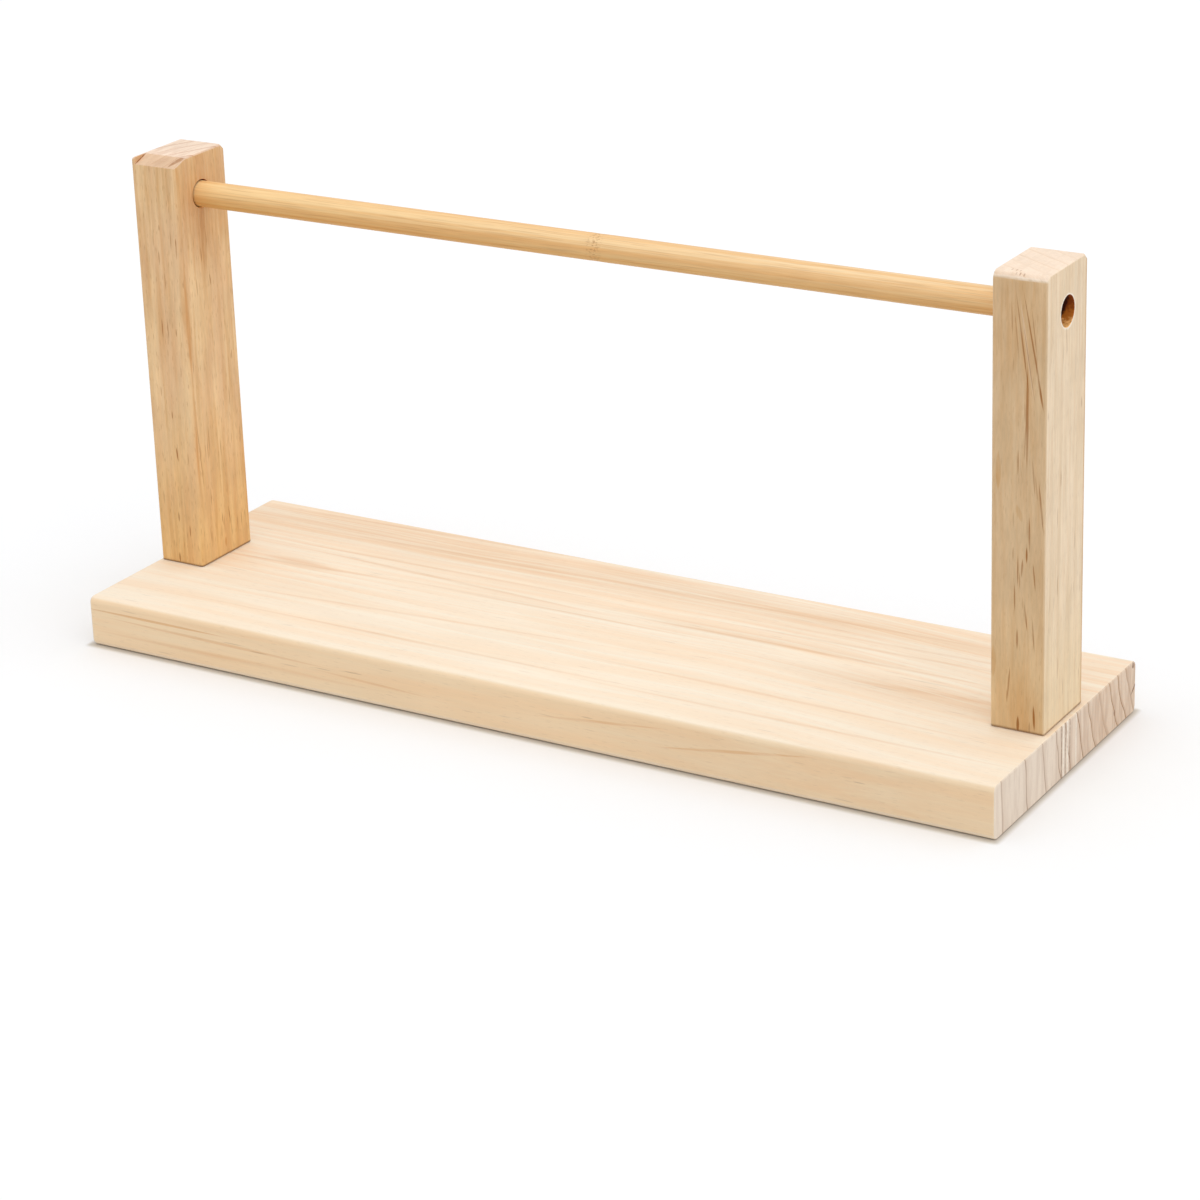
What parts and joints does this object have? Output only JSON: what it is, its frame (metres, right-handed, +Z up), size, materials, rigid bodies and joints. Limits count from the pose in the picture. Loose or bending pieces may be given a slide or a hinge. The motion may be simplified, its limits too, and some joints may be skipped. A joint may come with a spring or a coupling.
{
  "type": "ribbon holder",
  "caption": "Wooden stand with a flat base, upright end posts and a removable round rod between them that carries spools of ribbon, tape or twine.",
  "frame": {"origin": "on the ground under the middle of the base board", "axes": "+X along the base and the rod, towards the post with the through hole; +Y to the back; +Z up"},
  "size_m": [0.38, 0.12, 0.183],
  "materials": {
    "pine_board": "planed and sanded, bare",
    "pine_post": "planed and sanded, bare",
    "bamboo": "turned smooth, bare",
    "zinc_steel": "zinc plated"
  },
  "bodies": {
    "stand": {"base_board": "pine_board", "left_post": "pine_post", "right_post": "pine_post", "left_front_screw": "zinc_steel", "left_rear_screw": "zinc_steel", "right_front_screw": "zinc_steel", "right_rear_screw": "zinc_steel"},
    "rod": {"spool_rod": "bamboo"}
  },
  "joints": [
    {"name": "rod_slide", "type": "slide", "parent": "stand", "child": "rod", "axis": [1, 0, 0], "range_m": [0, 0.37]}
  ]
}
